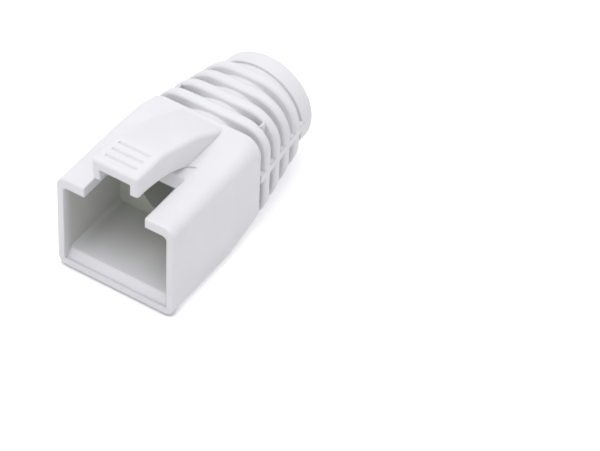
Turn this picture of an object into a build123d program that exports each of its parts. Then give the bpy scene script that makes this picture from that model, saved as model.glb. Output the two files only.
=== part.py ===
"""Strain relief boot for a modular plug, moulded in one soft piece. Millimetres.

X runs along the cable, from the plug's mouth at -X to the cable end at +X.
Z is up, the XZ plane is the mirror plane, and the underside lies on Z = 0.
Stations along the boot are measured from the mouth.
"""
import math
import os

from build123d import *

os.makedirs("parts", exist_ok=True)

# Plug housing, outside
housing_length = 15.46
housing_width = 13.6
housing_height = 11.6
edge_radius = 1.2
rim_round = 0.15
shoulder_bevel = 0.22

# Shoulder, where the housing draws in towards the neck, in two steps
shoulder_length = 5.96
shoulder_rear_length = 2.26
shoulder_middle_width = 13.45
shoulder_middle_top_radius = 1.35
shoulder_middle_bottom_radius = 2.0
shoulder_end_width = 13.24
shoulder_end_top_radius = 2.1
shoulder_end_bottom_radius = 2.6

# Plug cavity
side_wall = 0.8
top_wall = 1.15
floor_wall = 1.6
cavity_depth = 9.3
cavity_corner_radius = 0.5

# Mouth's floor: a thin lip at the rim, then a slope that leads the plug in
mouth_lip_height = 1.0
mouth_lip_thickness = 0.2
lead_in_depth = 1.1
lead_in_height = 0.85

# Slot in the top wall, where the plug's latch lies
slot_width = 7.04
slot_length = 6.75
slot_back_slope = 0.75
slot_corner_radius = 0.4

# Cable bore
bore_radius = 3.65
bore_height = 5.84

# Neck: flexing ribs on a round core, then a collar
core_radius = 5.27
groove_count = 5
groove_pitch = 2.07
groove_width = 0.85
rib_corner_radius_at_start = 2.4
rib_corner_radius_at_end = 5.0
neck_end_width = 11.5
rib_bevel = 0.22
collar_radius = 5.5
collar_length = 2.25
collar_round = 0.6

# Ties that bridge every groove on both sides
tie_height = 1.0
tie_level = 6.27

# Thin upright webs that bridge the second groove at its upper corners
web_groove = 1
web_thickness = 0.3
web_offset = 4.95
web_top_gap = 0.65

# Latch cover, a hood that springs from the top of the housing
cover_width = 5.4
cover_rise = 4.5
cover_flat_length = 4.2
cover_knee = 10.0
cover_knee_rise = 2.5
cover_root_gap = 0.81
cover_bend_radius = 4.0
cover_knee_radius = 8.0
cover_edge_round = 0.4
cover_foot_depth = 0.5

# Tool marks in the housing's top, one on each side of the cover's foot
mark_length = 0.95
mark_width = 0.2
mark_depth = 0.1
mark_angle = 60

# Underside of the cover: a lip at its tip, then an arch down to the housing
tip_depth = 2.55
tip_set_back = 0.15
tip_thickness = 0.5
lip_drop = 0.2
arch_foot = 8.1
arch_radius = 16.0

# Channel under the cover's roof
cover_roof = 1.17
cover_cheek = 0.93
cheek_foot_growth = 0.15
channel_end = 9.3

# Finger grip grooves across the cover
grip_first = 1.21
grip_pitch = 1.07
grip_count = 3
grip_width = 0.4
grip_depth = 0.12
grip_length = 3.6

neck_length = (groove_count - 1) * groove_pitch + groove_width
boot_length = housing_length + neck_length + collar_length
mouth_x = -boot_length / 2
end_x = boot_length / 2


def along(station):
    """X of a station measured from the mouth."""
    return mouth_x + station


def outline(station, width, top_radius, bottom_radius):
    """Cross section of the boot's outside at a station."""
    with BuildSketch(Plane.YZ.offset(along(station))) as section:
        with Locations((0, housing_height / 2)):
            Rectangle(width, housing_height)
        fillet(section.vertices().group_by(Axis.Y)[-1], top_radius)
        fillet(section.vertices().group_by(Axis.Y)[0], bottom_radius)
    return section.sketch


def rib_outline(station):
    """Cross section of the ribs at a station: they get narrower and rounder towards the collar."""
    share = (station - housing_length) / neck_length
    width = shoulder_end_width + share * (neck_end_width - shoulder_end_width)
    radius = rib_corner_radius_at_start + share * (rib_corner_radius_at_end - rib_corner_radius_at_start)
    return outline(station, width, radius, radius)


# Housing: a straight box that draws in over the shoulder
shoulder_start = housing_length - shoulder_length
shoulder_middle = housing_length - shoulder_rear_length
with BuildPart() as housing:
    extrude(outline(0, housing_width, edge_radius, edge_radius), amount=shoulder_start)
    loft([
        outline(shoulder_start, housing_width, edge_radius, edge_radius),
        outline(shoulder_middle, shoulder_middle_width, shoulder_middle_top_radius,
                shoulder_middle_bottom_radius),
        outline(housing_length, shoulder_end_width, shoulder_end_top_radius, shoulder_end_bottom_radius),
    ], ruled=True)
    fillet(housing.faces().sort_by(Axis.X)[0].edges(), rim_round)
    chamfer(housing.faces().sort_by(Axis.X)[-1].edges(), shoulder_bevel)

# Plug cavity, with the lip and the lead-in on its floor
cavity_top = housing_height - top_wall
cavity_width = housing_width - 2 * side_wall
with BuildPart() as cavity:
    with BuildSketch(Plane.YZ.offset(mouth_x)):
        with Locations((0, (cavity_top + floor_wall) / 2)):
            RectangleRounded(cavity_width, cavity_top - floor_wall, cavity_corner_radius)
    extrude(amount=cavity_depth)
    with BuildSketch(Plane.XZ):
        with BuildLine():
            Polyline(
                (mouth_x, mouth_lip_height),
                (along(mouth_lip_thickness), mouth_lip_height),
                (along(mouth_lip_thickness), floor_wall - lead_in_height),
                (along(lead_in_depth), floor_wall),
                (along(lead_in_depth), floor_wall + cavity_corner_radius),
                (mouth_x, floor_wall + cavity_corner_radius),
                close=True,
            )
        make_face()
    extrude(amount=cavity_width / 2, both=True)

# Slot through the top wall, with a back face that leans away from the mouth
with BuildPart() as latch_slot:
    with BuildSketch(Plane.XZ):
        with BuildLine():
            Polyline(
                (mouth_x, cavity_top),
                (along(slot_length - slot_back_slope), cavity_top),
                (along(slot_length), housing_height),
                (mouth_x, housing_height),
                close=True,
            )
        make_face()
    extrude(amount=slot_width / 2, both=True)
    back_corners = latch_slot.faces().sort_by(Axis.X)[-1].edges().filter_by(Axis.Y, reverse=True)
    fillet(back_corners, slot_corner_radius)

# Ribs, with bevelled edges
rib_width = groove_pitch - groove_width
with BuildPart() as ribs:
    for index in range(groove_count - 1):
        rib_start = housing_length + groove_width + index * groove_pitch
        loft([rib_outline(rib_start), rib_outline(rib_start + rib_width)])
    chamfer(ribs.faces().filter_by(Axis.X).edges(), rib_bevel)

# Core and collar
with BuildPart() as core:
    with BuildSketch(Plane.YZ.offset(along(housing_length))):
        with Locations((0, bore_height)):
            Circle(core_radius)
    extrude(amount=neck_length)
    with BuildSketch(Plane.YZ.offset(end_x - collar_length)):
        with Locations((0, bore_height)):
            Circle(collar_radius)
    extrude(amount=collar_length)
    fillet(core.faces().sort_by(Axis.X)[-1].edges(), collar_round)

# Ties: one tapered bar through the neck, flush with the sides of the ribs
with BuildPart() as ties:
    with BuildSketch(Plane.XY.offset(tie_level - tie_height / 2)):
        with BuildLine():
            Polyline(
                (along(housing_length), -shoulder_end_width / 2),
                (along(housing_length + neck_length), -neck_end_width / 2),
                (along(housing_length + neck_length), neck_end_width / 2),
                (along(housing_length), shoulder_end_width / 2),
                close=True,
            )
        make_face()
    extrude(amount=tie_height)

# Webs: one thin upright plate at each upper corner of a groove, from the core to the ribs' surface
web_top = housing_height - web_top_gap
with BuildPart() as webs:
    with BuildSketch(Plane.YZ.offset(along(housing_length + web_groove * groove_pitch))):
        with Locations((-web_offset, (bore_height + web_top) / 2), (web_offset, (bore_height + web_top) / 2)):
            Rectangle(web_thickness, web_top - bore_height)
    extrude(amount=groove_width)

# Latch cover: a roof on two cheeks, open towards the plug
cover_root = housing_length - cover_root_gap
cover_top = housing_height + cover_rise
cover_knee_height = housing_height + cover_knee_rise
cover_slope = (cover_knee_height - cover_top) / (cover_knee - cover_flat_length)
arch_start = (along(tip_set_back + tip_thickness), cover_top - tip_depth + lip_drop)
channel_roof = cover_top - cover_roof
channel_end_roof = channel_roof + cover_slope * (channel_end - cover_flat_length)
with BuildPart() as latch_cover:
    with BuildSketch(Plane.XZ):
        with BuildLine():
            Line((along(tip_set_back), cover_top - tip_depth), (mouth_x, cover_top))
            FilletPolyline(
                (mouth_x, cover_top),
                (along(cover_flat_length), cover_top),
                (along(cover_knee), cover_knee_height),
                (along(cover_root), housing_height),
                radius=(cover_bend_radius, cover_knee_radius),
            )
            Polyline(
                (along(cover_root), housing_height),
                (along(cover_root), housing_height - cover_foot_depth),
                (along(arch_foot), housing_height - cover_foot_depth),
                (along(arch_foot), housing_height),
            )
            RadiusArc((along(arch_foot), housing_height), arch_start, -arch_radius)
            Line(arch_start, (along(tip_set_back), cover_top - tip_depth))
        make_face()
    extrude(amount=cover_width / 2, both=True)
    roof = latch_cover.faces().filter_by(lambda face: face.normal_at().Z > 0.1)
    front = latch_cover.faces().sort_by(Axis.X)[0]
    roof_edges = roof.edges().filter_by(Axis.Y, reverse=True)
    front_edges = front.edges() - front.edges().group_by(Axis.Z)[0]
    fillet(roof_edges + front_edges, cover_edge_round)

# Channel: it follows the cover's roof, and gets narrower down to the feet of the cheeks
channel_half = cover_width / 2 - cover_cheek
with BuildPart() as channel:
    with BuildSketch(Plane.YZ.offset(mouth_x)):
        with BuildLine():
            Polyline(
                (-channel_half, channel_roof),
                (channel_half, channel_roof),
                (channel_half - cheek_foot_growth, housing_height),
                (cheek_foot_growth - channel_half, housing_height),
                close=True,
            )
        make_face()
    extrude(amount=channel_end)
    with BuildSketch(Plane.XZ):
        with BuildLine():
            Polyline(
                (mouth_x, channel_roof),
                (along(cover_flat_length), channel_roof),
                (along(channel_end), channel_end_roof),
                (along(channel_end), housing_height),
                (mouth_x, housing_height),
                close=True,
            )
        make_face()
    extrude(amount=channel_half, both=True, mode=Mode.INTERSECT)

# Grip grooves: shallow troughs with round bottoms
grip_trough_radius = (grip_width ** 2 / 4 + grip_depth ** 2) / (2 * grip_depth)
with BuildPart() as grips:
    with BuildSketch(Plane.XZ):
        for index in range(grip_count):
            with Locations((along(grip_first + index * grip_pitch), cover_top + grip_trough_radius - grip_depth)):
                Circle(grip_trough_radius)
    extrude(amount=grip_length / 2, both=True)

# Tool marks: fine creases that run outwards from the cover's foot
mark_x = along(arch_foot) + mark_length * math.cos(math.radians(mark_angle)) / 2
mark_y = cover_width / 2 + mark_length * math.sin(math.radians(mark_angle)) / 2
with BuildPart() as tool_marks:
    with BuildSketch(Plane.XY.offset(housing_height - mark_depth)):
        with Locations((mark_x, mark_y)):
            SlotOverall(mark_length, mark_width, rotation=mark_angle)
        with Locations((mark_x, -mark_y)):
            SlotOverall(mark_length, mark_width, rotation=-mark_angle)
    extrude(amount=mark_depth)

# The boot: one moulding
with BuildPart() as boot:
    add(housing.part)
    add(cavity.part, mode=Mode.SUBTRACT)
    add(latch_slot.part, mode=Mode.SUBTRACT)
    add(ribs.part)
    add(core.part)
    add(ties.part)
    add(webs.part)
    add(latch_cover.part)
    add(channel.part, mode=Mode.SUBTRACT)
    add(grips.part, mode=Mode.SUBTRACT)
    add(tool_marks.part, mode=Mode.SUBTRACT)
    with BuildSketch(Plane.YZ.offset(along(cavity_depth))):
        with Locations((0, bore_height)):
            Circle(bore_radius)
    extrude(amount=boot_length - cavity_depth, mode=Mode.SUBTRACT)

boot.part.label = "strain_relief_boot"
export_step(boot.part, "parts/strain_relief_boot.step")
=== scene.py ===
"""Looks of the strain relief boot: moulded white plastic on a plain pale floor, in metres."""
import math

import bpy
from mathutils import Matrix, Vector


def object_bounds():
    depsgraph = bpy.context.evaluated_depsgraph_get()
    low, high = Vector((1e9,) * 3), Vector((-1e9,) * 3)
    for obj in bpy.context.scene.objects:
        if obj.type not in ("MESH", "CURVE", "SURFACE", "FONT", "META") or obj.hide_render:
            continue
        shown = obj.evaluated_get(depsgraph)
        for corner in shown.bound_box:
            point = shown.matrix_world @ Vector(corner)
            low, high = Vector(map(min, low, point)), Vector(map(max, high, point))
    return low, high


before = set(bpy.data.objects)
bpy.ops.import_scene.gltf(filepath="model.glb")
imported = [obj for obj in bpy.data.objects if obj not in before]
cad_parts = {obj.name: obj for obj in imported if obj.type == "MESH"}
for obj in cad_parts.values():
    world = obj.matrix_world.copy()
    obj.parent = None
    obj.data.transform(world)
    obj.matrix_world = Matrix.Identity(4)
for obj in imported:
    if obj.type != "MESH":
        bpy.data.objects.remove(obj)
cad_low, cad_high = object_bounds()

MM = 0.001

# Faces of the boot that the places below start from. Lengths named START or END run from the mouth.
MOUTH_X = cad_low[0]
SIDE_Y = cad_high[1]
TOP_Z = cad_high[2]

# Camera, at the photograph's viewing angle
CAMERA_AIM = Vector((4.485, -9.85, 0)) * MM
CAMERA_AZIMUTH = math.radians(-59.11)
CAMERA_ELEVATION = math.radians(44.08)
CAMERA_ROLL = math.radians(-2.92)
CAMERA_DISTANCE = 304.0 * MM
CAMERA_LENS = 183.1
SENSOR_WIDTH = 36.0
CLIP_START = 0.01
CLIP_END = 20.0

# Edges softened in the shading: the ribs' most of all, while the shallow finger grips stay crisp
EDGE_SOFTNESS = 0.30 * MM
NECK_SOFTNESS = 0.50 * MM
GRIP_SOFTNESS = 0.03 * MM
GRIP_LEVEL = TOP_Z - 0.5 * MM
NECK_START = 15.6 * MM
EDGE_SAMPLES = 8

# Places of the colour sockets in a Mix node
MIX_COLOUR_A = 6
MIX_COLOUR_B = 7
MIX_COLOUR_RESULT = 2

# Plastic
PLASTIC_DARK = (0.770, 0.770, 0.775, 1)
PLASTIC_LIGHT = (0.800, 0.800, 0.805, 1)
MOTTLE_SCALE = 180.0
MOTTLE_DETAIL = 4.0
GLOSS_SCALE = 420.0
GLOSS_DETAIL = 3.0
NOISE_RANGE = (0.3, 0.7)
ROUGHNESS_RANGE = (0.45, 0.56)
GRAIN_SCALE = 2200.0
GRAIN_DETAIL = 2.0
GRAIN_STRENGTH = 0.12
GRAIN_HEIGHT = 0.03 * MM
PLASTIC_IOR = 1.5
SUBSURFACE_WEIGHT = 0.15
SUBSURFACE_RADIUS = (1.0, 0.9, 0.85)
SUBSURFACE_SCALE = 0.5 * MM

# Plug cavity, bore and the channel under the cover: painted shade, deeper and a little olive there
INSIDE_PAINTED_SHADE = (0.54, 0.55, 0.505, 1)
INSIDE_FADE_START = 1.6 * MM
INSIDE_FADE_END = 9.0 * MM
INSIDE_END = 9.35 * MM
INSIDE_HALF_WIDTH = SIDE_Y - 0.75 * MM
INSIDE_FLOOR = 1.5 * MM
INSIDE_TOP = 10.5 * MM
WALL_SIDE = SIDE_Y - 0.85 * MM
WALL_FADE_START = 0.3 * MM
WALL_FADE_END = 1.2 * MM
WALL_SHARE = 0.75
BORE_START = 9.25 * MM
BORE_RADIUS = 3.7 * MM
BORE_HEIGHT = 5.84 * MM
CHANNEL_HALF_WIDTH = 1.8 * MM
CHANNEL_FLOOR = 11.65 * MM
CHANNEL_TOP = TOP_Z - 0.7 * MM
ROOF_FLAT_END = 4.2 * MM
ROOF_FALL = 0.345

# Finger grip grooves in the cover: painted shade, a little darker at their bottom
GRIP_PAINTED_SHADE = (0.69, 0.69, 0.695, 1)
GRIP_START = 0.95 * MM
GRIP_END = 3.65 * MM
GRIP_HALF_LENGTH = 1.85 * MM
GRIP_TOP = TOP_Z - 0.01 * MM
GRIP_BOTTOM = TOP_Z - 0.12 * MM

# Lower edge of the mouth's rim: painted shade, dark where it turns under
RIM_PAINTED_SHADE = (0.55, 0.55, 0.56, 1)
RIM_DEPTH = 0.2 * MM
RIM_SHADE_LOW = 0.05 * MM
RIM_SHADE_HIGH = 0.35 * MM

# Sky, lamp and floor
SKY_COLOUR = (0.955, 0.952, 1.0, 1)
SKY_HORIZON = 0.57
SKY_ZENITH = 0.78
SKY_ALONG = 0.30
LAMP_POWER = 0.66
LAMP_SIZE = 0.30
LAMP_PLACE = (-0.06, 0.025, 0.40)
WHITE = (1, 1, 1, 1)
FLOOR_HALF = 2.0
FLOOR_COLOUR = (0.80, 0.80, 0.81, 1)
FLOOR_GLOW = 0.42
# Painted contact shadow in the floor's glow, darkest in front of the mouth
CONTACT_REACH = 0.6 * MM
CONTACT_SAMPLES = 8
CONTACT_RANGE = (0.5, 0.95)
CONTACT_FADE = 2.0 * MM
CONTACT_SHADE_FRONT = 1.0
CONTACT_SHADE_SIDES = 0.15


def calculate(tree, operation, first, second=0.0):
    """The output of a math node, whose two inputs are sockets or plain numbers."""
    node = tree.nodes.new("ShaderNodeMath")
    node.operation = operation
    for socket, value in zip(node.inputs, (first, second)):
        if isinstance(value, bpy.types.NodeSocket):
            tree.links.new(value, socket)
        else:
            socket.default_value = value
    return node.outputs[0]


def remap(tree, value, from_range, to_range):
    """The output of a map range node, held to its range."""
    node = tree.nodes.new("ShaderNodeMapRange")
    node.inputs["From Min"].default_value = from_range[0]
    node.inputs["From Max"].default_value = from_range[1]
    node.inputs["To Min"].default_value = to_range[0]
    node.inputs["To Max"].default_value = to_range[1]
    tree.links.new(value, node.inputs["Value"])
    return node.outputs["Result"]


def coordinates(tree, space):
    """The place of the point being shaded, or a direction in the sky."""
    return tree.nodes.new("ShaderNodeTexCoord").outputs[space]


def split(tree, place):
    """The x, y and z of a place or a direction."""
    parts = tree.nodes.new("ShaderNodeSeparateXYZ")
    tree.links.new(place, parts.inputs[0])
    return parts.outputs


def add_noise(tree, place, scale, detail):
    """A noise texture at a place."""
    noise = tree.nodes.new("ShaderNodeTexNoise")
    noise.inputs["Scale"].default_value = scale
    noise.inputs["Detail"].default_value = detail
    tree.links.new(place, noise.inputs["Vector"])
    return noise.outputs["Fac"]


def held_to(tree, share, limits):
    """A share multiplied by each of its limits."""
    for limit in limits:
        share = calculate(tree, "MULTIPLY", share, limit)
    return share


def inside_shade_share(tree, x, side, z):
    """Share of painted shade: 0 on the boot's outside and at its mouth, up to 1 deep in the cavity,
    the channel and the bore.

    The cavity's side walls take most of it from just behind the mouth.
    """
    past_flat = calculate(tree, "SUBTRACT", x, MOUTH_X + ROOF_FLAT_END)
    sloping = calculate(tree, "MAXIMUM", past_flat, 0.0)
    roof_fall = calculate(tree, "MULTIPLY", sloping, ROOF_FALL)
    below_roof = calculate(tree, "ADD", z, roof_fall)
    in_channel = held_to(tree, calculate(tree, "LESS_THAN", below_roof, CHANNEL_TOP), (
        calculate(tree, "LESS_THAN", side, CHANNEL_HALF_WIDTH),
        calculate(tree, "GREATER_THAN", z, CHANNEL_FLOOR),
    ))
    below_top = calculate(tree, "LESS_THAN", z, INSIDE_TOP)
    on_wall = calculate(tree, "GREATER_THAN", side, WALL_SIDE)
    wall_fade = remap(tree, x, (MOUTH_X + WALL_FADE_START, MOUTH_X + WALL_FADE_END), (0.0, WALL_SHARE))
    wall_share = calculate(tree, "MULTIPLY", on_wall, wall_fade)
    depth_share = remap(tree, x, (MOUTH_X + INSIDE_FADE_START, MOUTH_X + INSIDE_FADE_END), (0.0, 1.0))
    share = held_to(tree, calculate(tree, "MAXIMUM", in_channel, below_top), (
        calculate(tree, "LESS_THAN", side, INSIDE_HALF_WIDTH),
        calculate(tree, "GREATER_THAN", z, INSIDE_FLOOR),
        calculate(tree, "LESS_THAN", x, MOUTH_X + INSIDE_END),
        calculate(tree, "MAXIMUM", wall_share, depth_share),
    ))
    above_bore = calculate(tree, "SUBTRACT", z, BORE_HEIGHT)
    from_bore = calculate(
        tree, "ADD",
        calculate(tree, "MULTIPLY", above_bore, above_bore),
        calculate(tree, "MULTIPLY", side, side))
    in_bore = calculate(
        tree, "MULTIPLY",
        calculate(tree, "LESS_THAN", from_bore, BORE_RADIUS ** 2),
        calculate(tree, "GREATER_THAN", x, MOUTH_X + BORE_START))
    return calculate(tree, "MAXIMUM", share, in_bore)


def grip_shade_share(tree, x, side, z):
    """Share of painted shade: 1 at the bottom of the finger grip grooves, and 0 everywhere else."""
    return held_to(tree, remap(tree, z, (GRIP_BOTTOM, GRIP_TOP), (1.0, 0.0)), (
        calculate(tree, "GREATER_THAN", z, GRIP_LEVEL),
        calculate(tree, "LESS_THAN", side, GRIP_HALF_LENGTH),
        calculate(tree, "GREATER_THAN", x, MOUTH_X + GRIP_START),
        calculate(tree, "LESS_THAN", x, MOUTH_X + GRIP_END),
    ))


def rim_shade_share(tree, x, z):
    """Share of painted shade: 1 at the very bottom of the mouth's rim, and 0 everywhere else."""
    share = remap(tree, z, (RIM_SHADE_LOW, RIM_SHADE_HIGH), (1.0, 0.0))
    at_rim = calculate(tree, "LESS_THAN", x, MOUTH_X + RIM_DEPTH)
    return calculate(tree, "MULTIPLY", share, at_rim)


def painted_shade_over(tree, share, colour, tint):
    """A colour that goes over to a plain colour of painted shade by a share."""
    blend = tree.nodes.new("ShaderNodeMix")
    blend.data_type = "RGBA"
    tree.links.new(share, blend.inputs["Factor"])
    tree.links.new(colour, blend.inputs[MIX_COLOUR_A])
    blend.inputs[MIX_COLOUR_B].default_value = tint
    return blend.outputs[MIX_COLOUR_RESULT]


def plastic_material():
    """Soft white moulded plastic: satin, faintly mottled, with a fine moulded grain, and painted shade
    in its hollows and under the rim.
    """
    material = bpy.data.materials.new("soft_white_plastic")
    material.use_nodes = True
    tree = material.node_tree
    shader = tree.nodes["Principled BSDF"]
    place = coordinates(tree, "Object")
    x, y, z = split(tree, place)
    side = calculate(tree, "ABSOLUTE", y)

    tint = tree.nodes.new("ShaderNodeValToRGB")
    tint.color_ramp.elements[0].position = NOISE_RANGE[0]
    tint.color_ramp.elements[0].color = PLASTIC_DARK
    tint.color_ramp.elements[1].position = NOISE_RANGE[1]
    tint.color_ramp.elements[1].color = PLASTIC_LIGHT
    tree.links.new(add_noise(tree, place, MOTTLE_SCALE, MOTTLE_DETAIL), tint.inputs["Fac"])
    # Painted shade deep in the cavity, the channel and the bore
    colour = painted_shade_over(tree, inside_shade_share(tree, x, side, z), tint.outputs["Color"], INSIDE_PAINTED_SHADE)
    # Painted shade at the bottom of the finger grip grooves
    colour = painted_shade_over(tree, grip_shade_share(tree, x, side, z), colour, GRIP_PAINTED_SHADE)
    # Painted shade along the lowest part of the mouth's rim
    colour = painted_shade_over(tree, rim_shade_share(tree, x, z), colour, RIM_PAINTED_SHADE)
    tree.links.new(colour, shader.inputs["Base Color"])

    gloss = add_noise(tree, place, GLOSS_SCALE, GLOSS_DETAIL)
    tree.links.new(remap(tree, gloss, NOISE_RANGE, ROUGHNESS_RANGE), shader.inputs["Roughness"])

    rounded = tree.nodes.new("ShaderNodeBevel")
    rounded.samples = EDGE_SAMPLES
    above_grips = calculate(tree, "GREATER_THAN", z, GRIP_LEVEL)
    softness = remap(tree, above_grips, (0.0, 1.0), (EDGE_SOFTNESS, GRIP_SOFTNESS))
    in_neck = calculate(tree, "GREATER_THAN", x, MOUTH_X + NECK_START)
    neck_softness = calculate(tree, "MULTIPLY", in_neck, NECK_SOFTNESS)
    tree.links.new(calculate(tree, "MAXIMUM", softness, neck_softness), rounded.inputs["Radius"])
    bump = tree.nodes.new("ShaderNodeBump")
    bump.inputs["Strength"].default_value = GRAIN_STRENGTH
    bump.inputs["Distance"].default_value = GRAIN_HEIGHT
    tree.links.new(add_noise(tree, place, GRAIN_SCALE, GRAIN_DETAIL), bump.inputs["Height"])
    tree.links.new(rounded.outputs["Normal"], bump.inputs["Normal"])
    tree.links.new(bump.outputs["Normal"], shader.inputs["Normal"])

    shader.inputs["IOR"].default_value = PLASTIC_IOR
    shader.inputs["Subsurface Weight"].default_value = SUBSURFACE_WEIGHT
    shader.inputs["Subsurface Radius"].default_value = SUBSURFACE_RADIUS
    shader.inputs["Subsurface Scale"].default_value = SUBSURFACE_SCALE
    return material


def dress_boot(boot, material):
    """The boot keeps its CAD shape and gets its material."""
    for slot in boot.material_slots:
        slot.material = material


def white_to_camera(tree):
    """1 for rays that show the background itself, and 0 for the light that falls on things."""
    path = tree.nodes.new("ShaderNodeLightPath")
    seen = calculate(tree, "MAXIMUM", path.outputs["Is Camera Ray"], path.outputs["Is Glossy Ray"])
    return calculate(tree, "MAXIMUM", seen, path.outputs["Is Transmission Ray"])


def floor_material():
    """Plain white, seen as white where no shadow falls.

    Its glow carries a painted contact shadow: narrow, and darkest in front of the mouth.
    """
    material = bpy.data.materials.new("pale_floor")
    material.use_nodes = True
    tree = material.node_tree
    output = tree.nodes["Material Output"]
    tree.nodes.remove(tree.nodes["Principled BSDF"])
    diffuse = tree.nodes.new("ShaderNodeBsdfDiffuse")
    diffuse.inputs["Color"].default_value = FLOOR_COLOUR
    glow = tree.nodes.new("ShaderNodeEmission")
    glow.inputs["Color"].default_value = WHITE
    strength = calculate(tree, "MULTIPLY", white_to_camera(tree), FLOOR_GLOW)
    # Painted contact shadow: the glow dims where the boot comes close
    contact = tree.nodes.new("ShaderNodeAmbientOcclusion")
    contact.samples = CONTACT_SAMPLES
    contact.inputs["Distance"].default_value = CONTACT_REACH
    x = split(tree, coordinates(tree, "Object"))[0]
    shade = calculate(
        tree, "MULTIPLY",
        remap(tree, contact.outputs["AO"], CONTACT_RANGE, (1.0, 0.0)),
        remap(tree, x, (MOUTH_X, MOUTH_X + CONTACT_FADE), (CONTACT_SHADE_FRONT, CONTACT_SHADE_SIDES)))
    lit = calculate(tree, "SUBTRACT", 1.0, shade)
    tree.links.new(calculate(tree, "MULTIPLY", strength, lit), glow.inputs["Strength"])
    total = tree.nodes.new("ShaderNodeAddShader")
    tree.links.new(diffuse.outputs[0], total.inputs[0])
    tree.links.new(glow.outputs[0], total.inputs[1])
    tree.links.new(total.outputs[0], output.inputs["Surface"])
    return material


def build_floor():
    """A plain pale floor under the boot."""
    mesh = bpy.data.meshes.new("floor")
    corners = [
        (-FLOOR_HALF, -FLOOR_HALF, 0),
        (FLOOR_HALF, -FLOOR_HALF, 0),
        (FLOOR_HALF, FLOOR_HALF, 0),
        (-FLOOR_HALF, FLOOR_HALF, 0),
    ]
    mesh.from_pydata(corners, [], [(0, 1, 2, 3)])
    floor = bpy.data.objects.new("floor", mesh)
    bpy.context.scene.collection.objects.link(floor)
    floor.data.materials.append(floor_material())


def build_sky():
    """A soft pale sky, brighter overhead and along the boot, and white where the camera sees it."""
    world = bpy.data.worlds.new("studio")
    world.use_nodes = True
    tree = world.node_tree
    light = tree.nodes["Background"]
    light.inputs["Color"].default_value = SKY_COLOUR
    x, _, z = split(tree, coordinates(tree, "Generated"))
    height = remap(tree, z, (0.0, 1.0), (SKY_HORIZON, SKY_ZENITH))
    along = calculate(tree, "MULTIPLY", x, x)
    along = calculate(tree, "MULTIPLY", along, SKY_ALONG)
    tree.links.new(calculate(tree, "ADD", height, along), light.inputs["Strength"])
    white = tree.nodes.new("ShaderNodeBackground")
    white.inputs["Color"].default_value = WHITE
    white.inputs["Strength"].default_value = 1.0
    mix = tree.nodes.new("ShaderNodeMixShader")
    tree.links.new(white_to_camera(tree), mix.inputs["Fac"])
    tree.links.new(light.outputs[0], mix.inputs[1])
    tree.links.new(white.outputs[0], mix.inputs[2])
    tree.links.new(mix.outputs[0], tree.nodes["World Output"].inputs["Surface"])
    bpy.context.scene.world = world


def build_lamp():
    """A broad soft lamp above."""
    lamp = bpy.data.lights.new("overhead", "AREA")
    lamp.shape = "DISK"
    lamp.size = LAMP_SIZE
    lamp.energy = LAMP_POWER
    lamp_object = bpy.data.objects.new("overhead", lamp)
    lamp_object.location = LAMP_PLACE
    lamp_object.rotation_euler = (-Vector(LAMP_PLACE)).to_track_quat("-Z", "Y").to_euler()
    bpy.context.scene.collection.objects.link(lamp_object)


def build_camera():
    """A long lens, turned as the photograph's camera was."""
    back = Vector((
        math.sin(CAMERA_AZIMUTH) * math.cos(CAMERA_ELEVATION),
        -math.cos(CAMERA_AZIMUTH) * math.cos(CAMERA_ELEVATION),
        math.sin(CAMERA_ELEVATION),
    ))
    level_right = Vector((0, 0, 1)).cross(back).normalized()
    level_up = back.cross(level_right)
    up = level_up * math.cos(CAMERA_ROLL) + level_right * math.sin(CAMERA_ROLL)
    right = up.cross(back)
    data = bpy.data.cameras.new("camera")
    data.lens = CAMERA_LENS
    data.sensor_width = SENSOR_WIDTH
    data.clip_start = CLIP_START
    data.clip_end = CLIP_END
    camera = bpy.data.objects.new("camera", data)
    camera.matrix_world = Matrix.Translation(CAMERA_AIM + back * CAMERA_DISTANCE) @ Matrix(
        (right, up, back)).transposed().to_4x4()
    bpy.context.scene.collection.objects.link(camera)
    bpy.context.scene.camera = camera


dress_boot(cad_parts["strain_relief_boot"], plastic_material())
build_floor()
build_sky()
build_lamp()
build_camera()
bpy.context.scene.view_settings.view_transform = "Standard"
